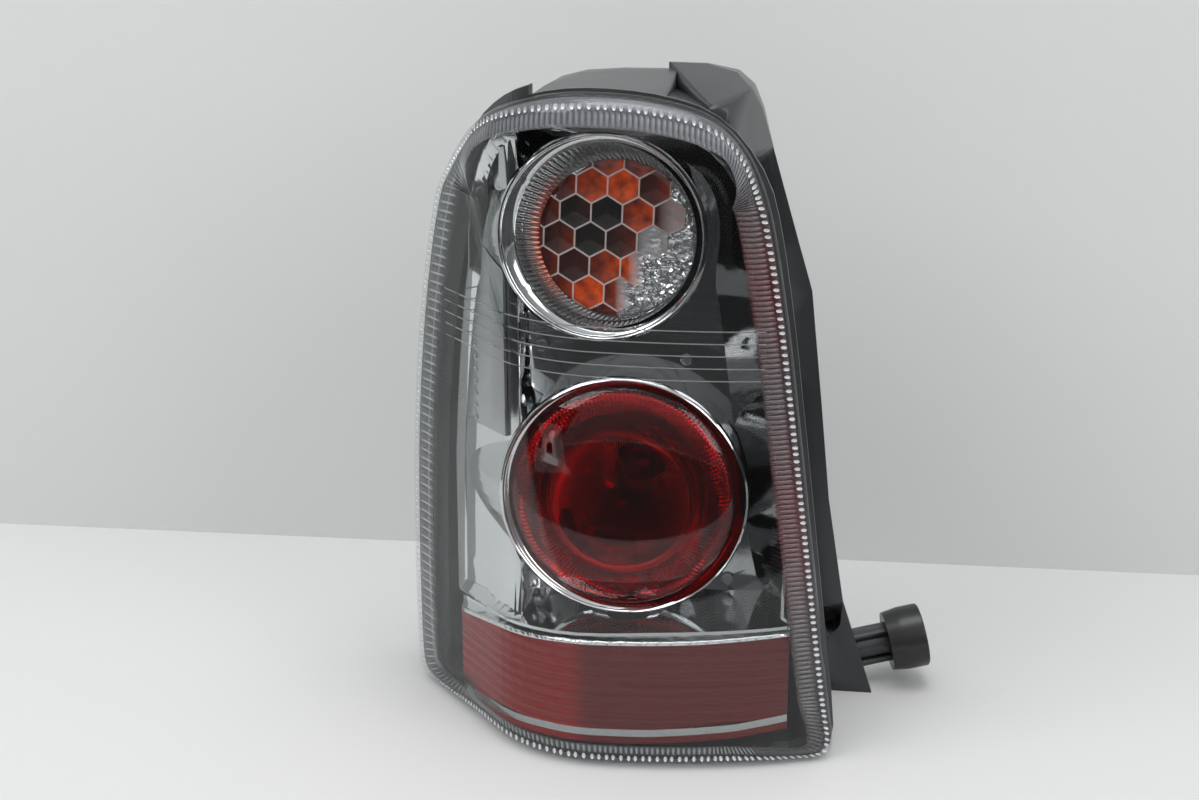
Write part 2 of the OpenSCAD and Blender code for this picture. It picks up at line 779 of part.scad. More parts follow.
// Clear cover of the panel on the wrap-around side, with its row of pips
module side_lens() {
    color(clear)
        difference() {
            union() {
                intersection() {
                    view_bar(side_view);
                    strip(1.3, 3.3, -200, cheek_u - 8, lower_z + 35, upper_z - 12);
                }
                for (i = [0 : 6])
                    let (c = wrap([-103, 206 + 8 * i], 2))
                    translate(c)
                        rotate([0, 0, -bend_angle])
                            rotate([90, 0, 0])
                                cylinder(r = 1.6, h = 2.4);
            }
            leaning(upper_x, upper_z, upper_r + gap, ring_y - 20, back_y - 50);
            leaning(lower_x, lower_z, lower_r + gap, ring_y - 20, back_y - 50);
        }
}

// Bulbs, their sockets and gaskets
base_len = 16;
module bulb_base(axis, y) {
    color([0.72, 0.73, 0.74])
        along_y(axis.x, axis.y, y - 5, y + base_len - 5, base_r);
}
module bulb_glass(axis, y, tint) {
    color(tint)
        translate([axis.x, y - 5, axis.y])
            rotate([90, 0, 0])
                difference() {
                    union() {
                        translate([0, 0, 17])
                            sphere(r = bulb_r);
                        cylinder(r = bulb_r * 0.58, h = 10);
                    }
                    translate([0, 0, 17])
                        sphere(r = bulb_r - 0.8);
                }
}
module socket(axis, y) {
    color([0.3, 0.31, 0.32])
        difference() {
            union() {
                along_y(axis.x, axis.y, y, back_y + 2, socket_r);
                along_y(axis.x, axis.y, back_y + 1.5, back_y + 5, socket_r + 5);
                translate([axis.x - 12, back_y + 3, axis.y - 8])
                    cube([24, socket_len - 3, 16]);
            }
            along_y(axis.x, axis.y, y - 1, y + base_len - 5, base_r + gap);
            translate([axis.x - 10, back_y + 7, axis.y - 6])
                cube([20, socket_len, 12]);
        }
}
module socket_gasket(axis) {
    color([0.04, 0.04, 0.04])
        difference() {
            along_y(axis.x, axis.y, back_y, back_y + 1.5, socket_r + 4);
            along_y(axis.x, axis.y, back_y - 1, back_y + 3, socket_r + gap);
        }
}
module turn_glass() bulb_glass(bulb_axes[0], turn_y, [0.95, 0.5, 0.05]);
module stop_glass() bulb_glass(bulb_axes[1], stop_y, [0.9, 0.9, 0.9]);
module fog_glass() bulb_glass(bulb_axes[2], fog_y, [0.9, 0.9, 0.9]);
module turn_base() bulb_base(bulb_axes[0], turn_y);
module stop_base() bulb_base(bulb_axes[1], stop_y);
module fog_base() bulb_base(bulb_axes[2], fog_y);
module turn_socket() socket(bulb_axes[0], turn_y);
module stop_socket() socket(bulb_axes[1], stop_y);
module fog_socket() socket(bulb_axes[2], fog_y);
module turn_gasket() socket_gasket(bulb_axes[0]);
module stop_gasket() socket_gasket(bulb_axes[1]);
module fog_gasket() socket_gasket(bulb_axes[2]);

// Screws that hold the bezel on its posts
module bezel_screw(i) {
    color([0.6, 0.61, 0.62]) {
        along_y(posts[i].x, posts[i].y, floor_y - 2, floor_y, 3.6);
        along_y(posts[i].x, posts[i].y, floor_y - 0.5, floor_y + 13, screw_r - 0.1);
    }
}
module screw_a() bezel_screw(0);
module screw_b() bezel_screw(1);
module screw_c() bezel_screw(2);
module screw_d() bezel_screw(3);

// Steel sleeve in the upper hole of the flange
module flange_sleeve() {
    h = flange_holes[1];
    color([0.7, 0.7, 0.72])
        difference() {
            union() {
                along_y(h.x, h.y, flange_y, flange_y + flange_t, h[2] - 0.02);
                along_y(h.x, h.y, flange_y - 1, flange_y, h[2] + 1.6);
            }
            along_y(h.x, h.y, flange_y - 5, flange_y + 8, h[2] - 1);
        }
}

// The middle of the bounding box
peg_side = sqrt(1 - peg_dir.x * peg_dir.x);
x_low = min([for (r = edge_rings) each [for (q = r) q.x]]);
x_high = peg_root.x + max(
    peg_dir.x * (stem_len + peg_len - 1) + peg_r * peg_side,
    peg_dir.x * (stem_len + peg_len) + (peg_r - 1) * peg_side);
x_mid = (x_low + x_high) / 2;
y_mid = (-front_y - lens_crown + back_y + socket_len) / 2;

translate([-x_mid, -y_mid, 0]) {
    outer_lens();
    lens_seal();
    housing();
    peg_barrel();
    bezel();
    upper_drum();
    lower_drum();
    upper_ring();
    lower_ring();
    upper_cap();
    lower_cap();
    upper_reflector();
    lower_reflector();
    band_lens();
    band_tray();
    band_trim();
    sill_trim();
    sill_lens();
    side_lens();
    turn_glass();
    stop_glass();
    fog_glass();
    turn_base();
    stop_base();
    fog_base();
    turn_socket();
    stop_socket();
    fog_socket();
    turn_gasket();
    stop_gasket();
    fog_gasket();
    screw_a();
    screw_b();
    screw_c();
    screw_d();
    flange_sleeve();
}
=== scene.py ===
# %% [markdown]
# # A wrap-around tail light cluster
# The real object is a sealed lamp: a black housing, a clear lens welded to its rim, and
# between them a chromed bezel with two round lamps and a red band. The CAD model already
# holds every piece at its true size. This lesson gives those pieces their finish, and
# makes again, as finer surfaces, the ones whose look depends on small ribs and flutes.

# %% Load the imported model
import bmesh
import bpy
import numpy as np
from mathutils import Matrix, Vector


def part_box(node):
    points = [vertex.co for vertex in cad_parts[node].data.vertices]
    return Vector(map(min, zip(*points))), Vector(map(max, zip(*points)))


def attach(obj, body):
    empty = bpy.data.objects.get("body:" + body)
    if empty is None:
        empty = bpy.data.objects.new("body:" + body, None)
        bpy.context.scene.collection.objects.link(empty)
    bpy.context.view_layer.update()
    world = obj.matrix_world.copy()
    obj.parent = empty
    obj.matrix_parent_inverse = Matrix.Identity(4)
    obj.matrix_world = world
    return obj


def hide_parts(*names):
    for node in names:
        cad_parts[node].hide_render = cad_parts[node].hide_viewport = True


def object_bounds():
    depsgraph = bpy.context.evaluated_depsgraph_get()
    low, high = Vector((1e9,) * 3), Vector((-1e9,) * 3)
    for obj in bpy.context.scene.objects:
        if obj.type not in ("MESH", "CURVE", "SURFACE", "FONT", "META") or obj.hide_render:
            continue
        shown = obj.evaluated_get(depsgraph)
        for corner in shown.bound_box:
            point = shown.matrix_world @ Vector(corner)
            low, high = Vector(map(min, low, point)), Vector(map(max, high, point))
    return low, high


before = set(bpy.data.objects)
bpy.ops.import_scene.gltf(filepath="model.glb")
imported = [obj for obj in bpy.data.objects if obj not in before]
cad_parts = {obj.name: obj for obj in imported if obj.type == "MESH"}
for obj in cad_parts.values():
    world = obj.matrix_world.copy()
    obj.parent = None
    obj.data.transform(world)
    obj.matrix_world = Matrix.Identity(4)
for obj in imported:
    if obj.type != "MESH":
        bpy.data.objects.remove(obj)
cad_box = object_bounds()
MM = 0.001
print("nodes:", len(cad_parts), "box:", cad_box)

# %% [markdown]
# ## Camera
# The camera comes first, because everything else is judged through it. It stands a little
# to the right and above, about a metre away, and looks at the middle of the lens.

# %% Set up the camera
AZIMUTH, ELEVATION, DISTANCE = np.radians(8), np.radians(16), 0.99
lamp_low, lamp_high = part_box("upper_ring")
ring_middle = (lamp_low.x + lamp_high.x) / 2
target = np.array([ring_middle + 0.001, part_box("outer_lens")[0].y + 0.019, 0.234])
away = np.array([
    np.sin(AZIMUTH) * np.cos(ELEVATION),
    -np.cos(AZIMUTH) * np.cos(ELEVATION),
    np.sin(ELEVATION),
])
camera = bpy.data.objects.new("camera", bpy.data.cameras.new("camera"))
camera.data.lens = 50
camera.data.sensor_width = 36
camera.location = target + away * DISTANCE
camera.rotation_euler = (np.pi / 2 - ELEVATION, 0, AZIMUTH)
bpy.context.scene.collection.objects.link(camera)
bpy.context.scene.camera = camera
bpy.context.scene.view_settings.view_transform = "Standard"
print("camera at", tuple(round(v, 3) for v in camera.location))

# %% [markdown]
# ## Writing shaders as sums
# A material is a graph of nodes. Adding each node by hand hides the idea, so this small
# class wraps one socket: a sum or a product of two of them adds the Math node that works
# it out, and `Finish.add` adds any other kind of node.

# %% A socket that can be added and multiplied
class Value:
    """One output of a node. Arithmetic on it adds Math nodes to the same graph."""

    def __init__(self, finish, socket):
        self.finish, self.socket = finish, socket

    def out(self, name):
        """Another output of the same node."""
        return Value(self.finish, self.socket.node.outputs[name])

    def math(self, operation, *others, clamp=False):
        settings = {"operation": operation, "use_clamp": clamp}
        return self.finish.add("Math", settings, dict(enumerate(others)))

    def __add__(self, other):
        return self.math("ADD", self, other)

    def __sub__(self, other):
        return self.math("SUBTRACT", self, other)

    def __rsub__(self, other):
        return self.math("SUBTRACT", other, self)

    def __mul__(self, other):
        return self.math("MULTIPLY", self, other)

    def __pow__(self, other):
        return self.math("POWER", self, other)

    __radd__, __rmul__ = __add__, __mul__

    def sine(self):
        return self.math("SINE", self)

    def above(self, edge):
        return self.math("GREATER_THAN", self, edge)

    def clamped(self):
        return self.math("ADD", self, 0, clamp=True)


class Finish:
    """A material under construction."""

    def __init__(self, name, owner=None):
        self.owner = owner or bpy.data.materials.new(name)
        self.owner.use_nodes = True
        self.tree = self.owner.node_tree
        self.tree.nodes.clear()

    def add(self, kind, settings=None, inputs=None, output=0):
        """Adds a node: first its settings, then the values or links of its inputs."""
        node = self.tree.nodes.new("ShaderNode" + kind)
        for name, value in (settings or {}).items():
            setattr(node, name, value)
        for name, value in (inputs or {}).items():
            if isinstance(value, Value):
                self.tree.links.new(value.socket, node.inputs[name])
            else:
                node.inputs[name].default_value = value
        return Value(self, node.outputs[output]) if len(node.outputs) else node

    def place(self):
        """The point on the object, in metres."""
        return self.add("TexCoord", output="Object")

    def stored(self, name, output="Fac"):
        """A number or a colour that the piece holds for each of its points."""
        return self.add("Attribute", {"attribute_name": name}, output=output)

    def noise(self, size_mm, detail=2.0, stretch=(1, 1, 1)):
        """Noise whose blobs are about size_mm across, longer where stretch is below 1."""
        scaled = self.add("VectorMath", {"operation": "MULTIPLY"}, {0: self.place(), 1: stretch})
        inputs = {"Vector": scaled, "Scale": 1000 / size_mm, "Detail": detail}
        return self.add("TexNoise", None, inputs)

    def colours(self, amount, dark, light):
        """Mixes two colours by an amount from 0 to 1."""
        ends = [c if isinstance(c, Value) else (*c, 1) for c in (dark, light)]
        inputs = {0: amount, 6: ends[0], 7: ends[1]}
        return self.add("Mix", {"data_type": "RGBA"}, inputs, output=2)

    def bump(self, height, depth_mm, strength=1.0):
        """Raises the surface by depth_mm times a height from 0 to 1."""
        inputs = {"Height": height, "Distance": depth_mm * MM, "Strength": strength}
        return self.add("Bump", None, inputs)

    def principled(self, **inputs):
        """The standard surface; base_color stands for its Base Color, and so on."""
        named = {k.replace("_", " ").title().replace("Ior", "IOR"): v for k, v in inputs.items()}
        return self.add("BsdfPrincipled", None, named)

    def mix(self, factor, first, second):
        """Mixes two shaders by a factor from 0 to 1."""
        return self.add("MixShader", None, {0: factor, 1: first, 2: second})

    def output(self, surface):
        self.add("OutputMaterial", None, {"Surface": surface})
        return self.owner


print("shader classes:", Value.__name__, Finish.__name__)

# %% [markdown]
# ## Black plastic
# The housing and the peg are moulded in black plastic with a satin surface. A fine noise
# breaks up the gloss, and a slow one adds the faint grey bloom that such parts have. The
# barrel of the peg gets the same black, darkened as painted shade.

# %% Black plastic
def scaled(colour, share):
    return tuple(share * c for c in colour)


def black_plastic(name="black_plastic", shade=1.0):
    """Satin black. shade is a share of its usual colour."""
    f = Finish(name)
    bloom = f.noise(60, detail=4)
    grain = f.noise(0.9, detail=1)
    return f.output(f.principled(
        base_color=f.colours(bloom, scaled((0.026, 0.027, 0.030), shade),
                             scaled((0.052, 0.054, 0.058), shade)),
        roughness=0.24 + 0.12 * bloom,
        normal=f.bump(grain, 0.12, 0.25)))


def soft_black(name, shade):
    """Rubber or dull plastic, between shade and 1.8 times shade."""
    f = Finish(name)
    grain = f.noise(3, detail=3)
    return f.output(f.principled(
        base_color=f.colours(grain, (shade,) * 3, (shade * 1.8,) * 3),
        roughness=0.55 + 0.15 * grain,
        normal=f.bump(grain, 0.2, 0.3)))


print("black plastic made")

# %% [markdown]
# ## Chrome
# Metallised plastic is a mirror, a little darker than polished metal. Its surface is
# never quite flat, so a slow, shallow bump bends the reflections as moulded parts do. The
# bezel mirrors a darker room between the lamps, and a painted dark reflection in its film,
# away from the wrap-around side and the floor, stands in for that.

# %% Chrome
DARK_REFLECTION_FROM, DARK_REFLECTION_LOW, DARK_REFLECTION_OVER = -92, 62, 40


def chrome(name, shade=0.80, haze=0.05, wave=0.05, painted_dark_reflection=0.0):
    """Metal film on plastic. Its last argument paints a dark reflection into the film, away from
    the wrap-around side and the floor, where x and z grow past the first two constants above,
    over the third, in millimetres."""
    f = Finish(name)
    slow = f.noise(45, detail=1)
    dust = f.noise(1.6, detail=2)
    tint = (shade, shade * 1.01, shade * 1.02)
    film = f.colours(slow, scaled(tint, 0.9), tint)
    if painted_dark_reflection:
        at = f.add("SeparateXYZ", None, {0: f.place()})
        dark_reflection_mask = ((at.out("X") - DARK_REFLECTION_FROM * MM) * (1 / (DARK_REFLECTION_OVER * MM))).clamped()
        dark_reflection_mask = dark_reflection_mask * ((at.out("Z") - DARK_REFLECTION_LOW * MM) * (1 / (DARK_REFLECTION_OVER * MM))).clamped()
        # Painted dark reflection: the mask mixes the film towards a fifth of its tint.
        film = f.colours(painted_dark_reflection * dark_reflection_mask, film, scaled(tint, 0.2))
    return f.output(f.principled(
        base_color=film,
        metallic=1.0,
        roughness=haze + 0.05 * dust,
        normal=f.bump(slow, wave, 1.0)))


print("chrome made")

# %% [markdown]
# ## Clear and coloured plastics
# The outer lens is nearly invisible from the front and turns into a mirror at its edges.
# A mix of see-through and glossy that grows towards the edges gives that, and light
# still passes to the inside. The glass of the bulbs is made in the same way. Only the red
# dome bends light, and its material stands beside its shape.

# %% Clear and coloured plastics
STRAIGHT_ON = 0.04


def thin_clear(name, tint, base, gain):
    """See-through mixed with gloss: factor = base + gain * (0.04 + 0.96 * facing ** 5), which
    is the same from both sides of a wall, so that the inside never turns into a mirror.
    STRAIGHT_ON is what plastic reflects at a right angle, the 0.04 of the formula."""
    f = Finish(name)
    facing = f.add("LayerWeight", None, {"Blend": 0.5}, output="Facing")
    edge = STRAIGHT_ON + (1 - STRAIGHT_ON) * facing ** 5
    through = f.add("BsdfTransparent", None, {"Color": (*tint, 1)})
    shine = {"Roughness": 0.03, "Color": (1, 1, 1, 1)}
    gloss = f.add("BsdfGlossy", {"distribution": "GGX"}, shine)
    return f.output(f.mix((base + gain * edge).clamped(), through, gloss))


print("clear plastics made")

# %% [markdown]
# ## Pieces that keep their CAD shape
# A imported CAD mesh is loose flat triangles. A copy of it is welded together and shaded
# smooth, except over edges sharper than a chosen angle, and then it stands for its node.

# %% A welded and smoothed copy of a CAD node
def link(piece):
    bpy.context.scene.collection.objects.link(piece)
    return piece


SHARP_ANGLE, DOUBLES_WITHIN = np.radians(28), 1e-5


def dressed(node, material):
    """Copies a node's mesh, merges its doubles and shades it smooth up to an angle. Large
    faces weigh more in the shading, which helps flat walls but doesn't cure them: creases
    still fan out from the sockets on the back of the housing."""
    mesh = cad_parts[node].data.copy()
    mesh.name = node + "_dressed"
    weld = bmesh.new()
    weld.from_mesh(mesh)
    bmesh.ops.remove_doubles(weld, verts=weld.verts, dist=DOUBLES_WITHIN)
    bmesh.ops.dissolve_degenerate(weld, edges=weld.edges, dist=1e-6)
    weld.to_mesh(mesh)
    weld.free()
    mesh.materials.clear()
    mesh.materials.append(material)
    mesh.polygons.foreach_set("material_index", np.zeros(len(mesh.polygons), np.int32))
    mesh.set_sharp_from_angle(angle=SHARP_ANGLE)
    mesh.polygons.foreach_set("use_smooth", np.ones(len(mesh.polygons), bool))
    piece = link(bpy.data.objects.new(node + "_dressed", mesh))
    even = piece.modifiers.new("even_normals", "WEIGHTED_NORMAL")
    even.keep_sharp, even.weight = True, 80
    return stands_for(piece, node)


def stands_for(piece, node):
    """The piece rides with the lamp and hides its CAD node."""
    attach(piece, "root")
    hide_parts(node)
    return piece


black = black_plastic()
seal_black = soft_black("seal_rubber", 0.012)
bright = chrome("bright_chrome")
strip = chrome("strip_chrome", shade=0.42, haze=0.20)
mirror = chrome("mirror_coating", shade=0.86, haze=0.02, wave=0.03)
steel = chrome("zinc_steel", shade=0.55, haze=0.22, wave=0.02)
grey = soft_black("grey_plastic", 0.09)
dressed("housing", black)
# The peg's barrel gets painted shade: the same black plastic at 0.3 of its colour.
dressed("peg_barrel", black_plastic("shaded_peg_plastic", 0.3))
# The bezel's film carries a painted dark reflection between the lamps.
for material, nodes in (
        (seal_black, "lens_seal turn_gasket stop_gasket fog_gasket"),
        (chrome("painted_dark_chrome", painted_dark_reflection=0.68), "bezel"),
        (bright, "upper_ring lower_ring band_tray band_trim"),
        (strip, "sill_trim"),
        (mirror, "upper_reflector lower_reflector"),
        (steel, "turn_base stop_base fog_base screw_a screw_b screw_c screw_d flange_sleeve"),
        (grey, "turn_socket stop_socket fog_socket")):
    for node in nodes.split():
        dressed(node, material)

# %% [markdown]
# ## The curve that the lens follows
# Seen from the front the lens is a rounded upright shape, and seen from above it follows
# a wide arc on the right and bends away by 50 degrees on the left. Each point is first
# placed flat, as u along the curve and z up, and is then wrapped onto the curve.

# %% Outline and plan of the lens
OUTLINE = np.array([
    (-24.3, 0), (50, 0), (110, 0), (138, 0), (146.5, 2.5), (148.6, 10), (146.4, 30),
    (139.8, 77), (130.7, 145), (120.3, 222), (110.7, 289), (100, 346), (92.3, 369),
    (83.2, 385), (71.5, 397.3), (57.3, 405.7), (23.5, 413.8), (-20, 415), (-62.3, 406),
    (-86.5, 396.4), (-107.4, 383), (-126.8, 364.4), (-141.5, 345), (-163.5, 283),
    (-180.5, 196.5), (-187, 107), (-187.5, 50), (-185.5, 15), (-181.5, 5.5),
    (-172, 2.2), (-120, 1)])
FACE_RADIUS, BEND_RADIUS, BEND_ANGLE, FRONT = 345, 80, np.radians(50), 5


def closed_curve(points, count):
    """Centripetal Catmull-Rom curve through the points, sampled at equal distances."""
    p0, p1, p2, p3 = (np.roll(points, 1 - k, axis=0)[:, None, :] for k in range(4))
    step = [np.sqrt(np.linalg.norm(b - a, axis=2, keepdims=True))
            for a, b in ((p0, p1), (p1, p2), (p2, p3))]
    k1, k2, k3 = step[0], step[0] + step[1], step[0] + step[1] + step[2]
    t = np.linspace(0, 1, 24, endpoint=False)[None, :, None]
    k = k1 + (k2 - k1) * t
    a1 = p0 + (p1 - p0) * k / k1
    a2 = p1 + (p2 - p1) * (k - k1) / (k2 - k1)
    a3 = p2 + (p3 - p2) * (k - k2) / (k3 - k2)
    b1 = a1 + (a2 - a1) * k / k2
    b2 = a2 + (a3 - a2) * (k - k1) / (k3 - k1)
    dense = (b1 + (b2 - b1) * (k - k1) / (k2 - k1)).reshape(-1, 2)
    loop = np.vstack([dense, dense[:1]])
    run = np.concatenate([[0], np.cumsum(np.linalg.norm(np.diff(loop, axis=0), axis=1))])
    at = np.linspace(0, run[-1], count, endpoint=False)
    even = np.stack([np.interp(at, run, loop[:, i]) for i in range(2)], axis=1)
    return np.maximum(even, (-1e9, 0)), run[-1]


def wrap(u, z, d):
    """Places a flat point on the curve: right of 0 an arc, left of 0 a tighter arc and then
    a straight run. d is the distance in front of the curve, along its normal."""
    right, left = u > 0, np.minimum(u, 0)
    heading = np.where(right, u / FACE_RADIUS, np.maximum(left / BEND_RADIUS, -BEND_ANGLE))
    run = np.minimum(left + BEND_ANGLE * BEND_RADIUS, 0)
    radius = np.where(right, FACE_RADIUS, BEND_RADIUS)
    x = radius * np.sin(heading) + run * np.cos(heading) + d * np.sin(heading)
    y = -FRONT + radius * (1 - np.cos(heading)) + run * np.sin(heading) - d * np.cos(heading)
    return np.stack(np.broadcast_arrays(x, y, z), axis=-1)


def edge_normals(p, core):
    """Direction away from a core box, which is also the direction in which insets are taken."""
    q = np.clip(p, core[0], core[1])
    return (p - q) / np.linalg.norm(p - q, axis=-1, keepdims=True)


def border_width(n, right, left, top, bottom):
    """Width of a border at a point, blended from its four sides by the normal."""
    return (n[..., 0] ** 2 * np.where(n[..., 0] > 0, right, left)
            + n[..., 1] ** 2 * np.where(n[..., 1] > 0, top, bottom))


print("outline runs", round(closed_curve(OUTLINE, 100)[1]), "mm")

# %% [markdown]
# ## From arrays to meshes
# Every new piece is a grid of points. `grid_faces` joins neighbours into four-sided faces
# and closes the grid round where asked. `mesh_piece` moves the piece from the lens's own
# zero to the row frame, whose zero is under the middle of the whole lamp.

# %% Grid to mesh
WORK_X = ring_middle + 0.001
WORK_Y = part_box("outer_lens")[0].y / MM + FRONT + 14
OFFSET = np.array([WORK_X / MM, WORK_Y, 0])


def grid_faces(rows, columns, round_rows=False, round_columns=True):
    """Four-sided faces between neighbours of a grid, wrapped round where it is closed."""
    i = np.arange(rows if round_rows else rows - 1)[:, None]
    j = np.arange(columns if round_columns else columns - 1)[None, :]
    i2, j2 = (i + 1) % rows, (j + 1) % columns
    return np.stack([i * columns + j, i * columns + j2, i2 * columns + j2, i2 * columns + j],
                    axis=-1).reshape(-1, 4)


def mesh_piece(name, points, faces, materials, face_material=None, sharp=None):
    """A mesh object from points in millimetres and an array of four-sided faces."""
    mesh = bpy.data.meshes.new(name)
    place = (np.asarray(points).reshape(-1, 3) + OFFSET) * MM
    mesh.vertices.add(len(place))
    mesh.vertices.foreach_set("co", place.astype(np.float32).ravel())
    count = len(faces)
    mesh.loops.add(4 * count)
    mesh.loops.foreach_set("vertex_index", faces.astype(np.int32).ravel())
    mesh.polygons.add(count)
    mesh.polygons.foreach_set("loop_start", np.arange(0, 4 * count, 4, dtype=np.int32))
    mesh.polygons.foreach_set("loop_total", np.full(count, 4, np.int32))
    mesh.update(calc_edges=True)
    for material in materials:
        mesh.materials.append(material)
    if face_material is not None:
        mesh.polygons.foreach_set("material_index", face_material.astype(np.int32))
    mesh.polygons.foreach_set("use_smooth", np.ones(count, bool))
    if sharp:
        mesh.set_sharp_from_angle(angle=np.radians(sharp))
    return link(bpy.data.objects.new(name, mesh))


print("row frame offset in mm:", OFFSET.round(2))

# %% [markdown]
# ## The clear outer lens
# The lens is one shell: a crowned outside with a rounded edge, a short skirt, and an
# inside that runs parallel to it. On the inside of its border 420 short ribs stand square
# to the outline. The shell is a grid of rings: one parameter runs round the outline, the
# other from the middle of the face over the edge and back to the middle along the inside.

# %% Shell of the outer lens
RIBS, STEPS_PER_RIB, RIB_FROM, RIB_HEIGHT = 420, 4, 9.5, 1.1
HEIGHT, ROUND, WALL, SKIRT = 14, 14, 2.8, 3
WIDE_CORE = ((-90, 45), (70, 350))
BORDER = dict(right=23, left=55, top=19, bottom=16)
LENS_MIDDLE = np.array((-25, 207.5))
rim, _ = closed_curve(OUTLINE, RIBS * STEPS_PER_RIB)
rim_normal = edge_normals(rim, WIDE_CORE)
border = border_width(rim_normal, **BORDER)
face_edge = rim - rim_normal * border[:, None]


def ring_at(distance, depth):
    """A ring at a distance inside the rim and a depth in front of it."""
    p = rim - rim_normal * np.reshape(distance, (-1, 1))
    return wrap(p[:, 0], p[:, 1], depth)


def face_rings(depth, fractions):
    """Rings that shrink from the border to the middle of the face."""
    return [wrap(*(LENS_MIDDLE + (face_edge - LENS_MIDDLE) * f).T, depth) for f in fractions]


quarter = np.linspace(0, np.pi / 2, 9)
inner_round, inner_height = ROUND - WALL / 2, HEIGHT - WALL
rib = np.abs(np.arange(len(rim)) % STEPS_PER_RIB - STEPS_PER_RIB / 2) / (STEPS_PER_RIB / 2)
spread = np.linspace(0, 1, 9)
rib_window = np.sin(np.pi * np.clip(spread * 1.15 - 0.05, 0, 1)) ** 0.35
fractions = np.linspace(0.02, 1, 14)
low_x = (cad_box[0].x / MM) - OFFSET[0]


def rib_ring(t, window):
    """A ring of the ribbed part, t of its way from RIB_FROM to the border. Its depth is the
    inside's, a circle of radius inner_round and then level, less the height of the ribs."""
    distance = RIB_FROM + (border - RIB_FROM) * t
    past = 1 - np.clip((distance - WALL) / inner_round, 0, 1)
    level = inner_height * np.sqrt(np.clip(1 - past ** 2, 0, 1))
    return ring_at(distance, np.minimum(inner_height, level) - RIB_HEIGHT * window * rib)


outside = face_rings(HEIGHT, fractions[:-1])
outside += [ring_at(w, HEIGHT) for w in (border, (border + ROUND) / 2)]
outside += [ring_at(ROUND * (1 - np.cos(a)), HEIGHT * np.sin(a)) for a in quarter[::-1]]
outside += [ring_at(0, -SKIRT)]
inside = [ring_at(WALL, -SKIRT)]
inside += [ring_at(WALL + inner_round * (1 - np.cos(a)), inner_height * np.sin(a))
           for a in quarter[:6]]
ribs_at = len(outside) + len(inside)
ribbed = [rib_ring(t, window) for t, window in zip(spread, rib_window)]
inside += ribbed + face_rings(inner_height, fractions[::-1][1:])
rings = np.array(outside + inside)
rings[..., 0] = np.maximum(rings[..., 0], low_x)
faces = grid_faces(len(rings), len(rim), round_rows=True)
ring_of_face = np.repeat(np.arange(len(rings)), len(rim))
in_border = (ring_of_face > len(outside)) & (ring_of_face < ribs_at + len(ribbed) - 1)

# %% [markdown]
# ## The plastic of the border
# Seen from outside, the ribs are light lines on a dark ground, and the ground differs from
# side to side: grey at the top, nearly black on the left, and red on the right beside the
# lamps. These tones are painted, as attributes of the points, and not mirrored or lit: the
# light lines are a painted highlight, the ground is painted shade with painted light at the
# top, and the red is a painted reflection.

# %% Border of the outer lens
lens_clear = thin_clear("clear_lens", (0.95, 0.96, 0.96), base=0.0, gain=0.55)


def ribbed_plastic():
    """The border: its attributes hold the painted shade, light and red reflection of each side,
    and how much painted highlight a point of a rib gets.
    """
    f = Finish("ribbed_lens")
    painted_shade_and_light, height = f.stored("painted_shade_and_light", "Color"), f.stored("rib")
    smear = f.noise(30, detail=2)
    # The ground turns light grey along the ribs: a painted highlight.
    solid = f.principled(
        base_color=f.colours((0.85 * height + 0.06 * smear).clamped(), painted_shade_and_light, (0.62, 0.63, 0.65)),
        roughness=0.2 + 0.1 * smear, metallic=0.35)
    through = f.add("BsdfTransparent", None, {"Color": (0.80, 0.82, 0.82, 1)})
    return f.output(f.mix((0.6 + 0.25 * height).clamped(), through, solid))


def store(piece, name, values):
    """One number or one colour for each point of a piece, for its material to read."""
    values = np.asarray(values, np.float32)
    if values.ndim == 1:
        piece.data.attributes.new(name, "FLOAT", "POINT").data.foreach_set("value", values)
        return
    full = np.ones((len(values), 4), np.float32)
    full[:, :3] = values
    colour = piece.data.attributes.new(name, "FLOAT_COLOR", "POINT")
    colour.data.foreach_set("color", full.ravel())


outer_lens = mesh_piece(
    "outer_lens_shell", rings, faces[:, ::-1], (lens_clear, ribbed_plastic()), in_border)
# Painted shade and light for each side of the border, and a painted red reflection beside the two
# lamps.
painted_side_light = {"right": (0.075, 0.06, 0.062), "left": (0.030, 0.033, 0.034),
             "top": (0.22, 0.23, 0.25), "bottom": (0.045, 0.055, 0.052)}
PAINTED_RED_REFLECTION, RED_REFLECTION_SPOTS = np.array((0.16, 0.012, 0.014)), ((305, 42), (165, 55))
share = {side: np.clip(way, 0, 1) ** 2 for side, way in (
    ("right", rim_normal[:, 0]), ("left", -rim_normal[:, 0]),
    ("top", rim_normal[:, 1]), ("bottom", -rim_normal[:, 1]))}
painted_shade_and_light = sum(share[k][:, None] * np.array(painted_side_light[k]) for k in share)
red_reflection = share["right"] * sum(np.exp(-((rim[:, 1] - z) / reach) ** 2) for z, reach in RED_REFLECTION_SPOTS)
painted_shade_and_light += red_reflection[:, None] * (PAINTED_RED_REFLECTION - painted_shade_and_light) * 0.85
store(outer_lens, "painted_shade_and_light", np.tile(painted_shade_and_light, (len(rings), 1)))
# Painted highlight along the ribs: weaker on the right, and every other rib dim on the left.
painted_rib_highlight = np.zeros((len(rings), len(rim)))
on_left = rim_normal[:, 0] < -0.6
rib_reach = np.where(on_left, np.clip(2.4 - 4.0 * spread[:, None], 0, 1),
                     np.where(rim_normal[:, 0] > 0.6, 0.4, 0.8))
wide_apart = np.where(on_left & (np.arange(len(rim)) // STEPS_PER_RIB % 2 == 0), 0.25, 1.0)
painted_rib_highlight[ribs_at:ribs_at + len(ribbed)] = rib_window[:, None] * rib_reach * (1 - rib) * wide_apart
store(outer_lens, "rib", painted_rib_highlight.ravel())
stands_for(outer_lens, "outer_lens")
print("border faces:", in_border.sum(), "of", len(faces))
